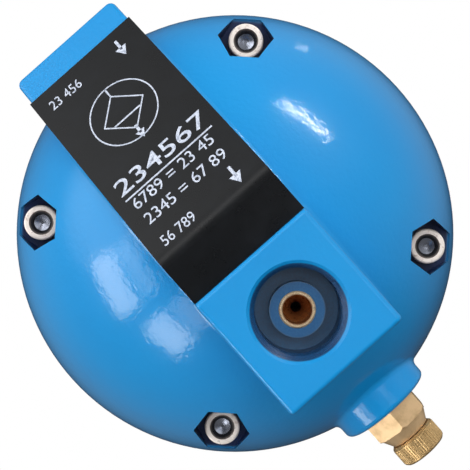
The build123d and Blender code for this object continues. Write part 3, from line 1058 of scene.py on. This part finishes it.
@dataclass
class Studio:
    """Floor, lamps, room and camera."""

    layout: Layout
    camera_distance: float = 340 * MM
    camera_side: float = 4.8 * MM
    camera_roll: float = math.radians(41.5)
    lens_mm: float = 100.2
    sensor_mm: float = 36.0
    camera_near: float = 10 * MM
    shift_down: float = 0.0032
    floor_drop: float = 700 * MM
    floor_half: float = 6.0
    floor_patch: float = 0.4
    floor_colour: Colour = srgb(104, 104, 105)
    floor_worn: Colour = srgb(98, 98, 99)
    ambient: float = 0.3

    def build(self) -> None:
        """Make the whole studio."""
        self.camera()
        self.floor()
        self.world()
        self.lamps()
        bpy.context.scene.view_settings.view_transform = "Standard"

    def camera(self) -> None:
        """Place the camera in front of the ball, rolled about its line of sight."""
        data = bpy.data.cameras.new("view_camera")
        data.lens = self.lens_mm
        data.sensor_width = self.sensor_mm
        data.shift_y = -self.shift_down
        data.clip_start = self.camera_near
        camera = bpy.data.objects.new("view_camera", data)
        bpy.context.collection.objects.link(camera)
        target = self.layout.ball_centre
        place = target + Vector((self.camera_side, -self.camera_distance, 0))
        back = (place - target).normalized()
        up = Vector((math.sin(self.camera_roll), 0, math.cos(self.camera_roll)))
        right = up.cross(back).normalized()
        turn = Matrix((right, back.cross(right), back)).transposed().to_4x4()
        camera.matrix_world = Matrix.Translation(place) @ turn
        bpy.context.scene.camera = camera

    def floor_finish(self) -> bpy.types.Material:
        """Build the floor's finish: matt and pale, and plain white to the camera.

        Returns:
            The material.
        """
        s = Shader("pale_floor")
        patches = s.noise(self.floor_patch, 2.0) * 0.1
        s.set(Base_Color=s.blend(patches, self.floor_colour, self.floor_worn))
        s.set(Roughness=0.8, Specular_IOR_Level=0.1)
        white = s.add("ShaderNodeEmission", {}, {"Color": (1.0, 1.0, 1.0), "Strength": 1.0})
        seen = s.add("ShaderNodeLightPath", {}, {}, "Is Camera Ray")
        matt = Wire(s, s.principled.outputs[0])
        surface = s.add("ShaderNodeMixShader", {}, {0: seen, 1: matt, 2: white})
        s.feed(s.tree.nodes["Material Output"].inputs["Surface"], surface)
        return s.material

    def floor(self) -> None:
        """Lay a wide pale floor below the hanging valve."""
        bm = bmesh.new()
        bmesh.ops.create_grid(bm, x_segments=8, y_segments=8, size=self.floor_half)
        drop = self.layout.lowest - self.floor_drop
        bmesh.ops.translate(bm, verts=bm.verts, vec=(0, 0, drop))
        mesh = bpy.data.meshes.new("studio_floor")
        bm.to_mesh(mesh)
        bm.free()
        mesh.materials.append(self.floor_finish())
        floor = bpy.data.objects.new("studio_floor", mesh)
        bpy.context.collection.objects.link(floor)
        floor.visible_glossy = False

    def world(self) -> None:
        """Make the room: white to the camera, soft glows in gloss and an even light elsewhere."""
        world = bpy.data.worlds.new("studio_world")
        bpy.context.scene.world = world
        world.use_nodes = True
        world.node_tree.nodes.clear()
        room = Nodes(world.node_tree, "Generated")
        glows = 0.0
        for glow in ROOM_GLOWS:
            direction = Vector(glow.towards).normalized()
            settings = {"operation": "DOT_PRODUCT"}
            facing = room.add("ShaderNodeVectorMath", settings, {0: room.place, 1: direction}, "Value")
            glows = facing.ramp(glow.starts, glow.full, glow.least, glow.most) + glows
        in_gloss = room.add("ShaderNodeLightPath", {}, {}, "Is Glossy Ray")
        in_view = room.add("ShaderNodeLightPath", {}, {}, "Is Camera Ray")
        number = {"data_type": "FLOAT"}
        strength = room.add("ShaderNodeMix", number, {0: in_gloss, 2: self.ambient, 3: glows})
        strength = room.add("ShaderNodeMix", number, {0: in_view, 2: strength, 3: 1.0})
        light = {"Color": (1.0, 1.0, 1.0), "Strength": strength}
        background = room.add("ShaderNodeBackground", {}, light)
        output = world.node_tree.nodes.new("ShaderNodeOutputWorld")
        room.feed(output.inputs["Surface"], background)

    def lamp(self, lamp: Lamp) -> None:
        """Hang one rectangular lamp that faces the ball.

        Args:
            lamp: The lamp.
        """
        data = bpy.data.lights.new(lamp.name, "AREA")
        data.shape = "RECTANGLE"
        data.size, data.size_y = lamp.size
        data.energy = lamp.radiance * math.pi * lamp.size[0] * lamp.size[1]
        hung = bpy.data.objects.new(lamp.name, data)
        bpy.context.collection.objects.link(hung)
        out = Vector(lamp.towards).normalized()
        right = Vector((0, 0, 1)).cross(out).normalized()
        turn = Matrix((right, out.cross(right), out)).transposed().to_4x4()
        place = self.layout.ball_centre + out * lamp.distance
        hung.matrix_world = Matrix.Translation(place) @ turn
        hung.visible_glossy = lamp.glossy

    def lamps(self) -> None:
        """Hang the window's panes and the studio's lamps."""
        for lamp in (*Window().panes(), *STUDIO_LAMPS):
            self.lamp(lamp)


def main() -> None:
    logging.basicConfig(level=logging.INFO, format="%(name)s: %(message)s")
    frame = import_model()
    layout = Layout.read(frame["record"])
    nodes = frame["nodes"]
    paint = GlossPaint().material(layout)
    brass = Metal("bar_brass", srgb(226, 192, 146), srgb(156, 122, 78), 0.26, metallic=0.62)
    knob = Metal("knob_brass_worn", srgb(222, 186, 130), srgb(124, 94, 52), 0.26, metallic=0.78)
    knob_finish = knob.material()
    copper = Metal("washer_copper", srgb(204, 128, 92), srgb(120, 70, 48), 0.35)
    steel = Metal("stainless_sheet", srgb(205, 203, 200), srgb(140, 138, 134), 0.3).material()
    finishes = {
        "blue_casting": paint,
        "plate_black": PlateBlack().material(),
        "seal_rubber": Rubber().material(),
        "seat_brass": SeatBrass().material(layout),
        "screw_steel": ScrewSteel().material(layout),
        "vent_brass": brass.material(),
        "knob_brass": knob_finish,
        "washer_copper": copper.material(),
    }
    for part in frame["record"]["subparts"]:
        dress(nodes[part["node"]], finishes.get(part["material_slot"], steel))
    PipeThread(
        "inlet_thread", mouth=Vector((0, 0, 0)), inward=Vector((0, 0, -1)),
        start=0.5 * MM, length=14.2 * MM, material=paint,
    ).build()
    PipeThread(
        "outlet_thread", mouth=Vector((0, layout.outlet_face, layout.outlet.z)),
        inward=Vector((0, 1, 0)), start=0.8 * MM, length=7.2 * MM, material=paint,
    ).build()
    KnobKnurl(knob_finish).build()
    floor_steel = Metal("socket_floor_steel", srgb(186, 192, 208), srgb(80, 84, 102), 0.12)
    SocketFloors(floor_steel.material(), layout).build()
    NameplatePrint(PrintInk().material(), nodes["nameplate"]).build()
    Studio(layout).build()


if __name__ == "__main__":
    main()
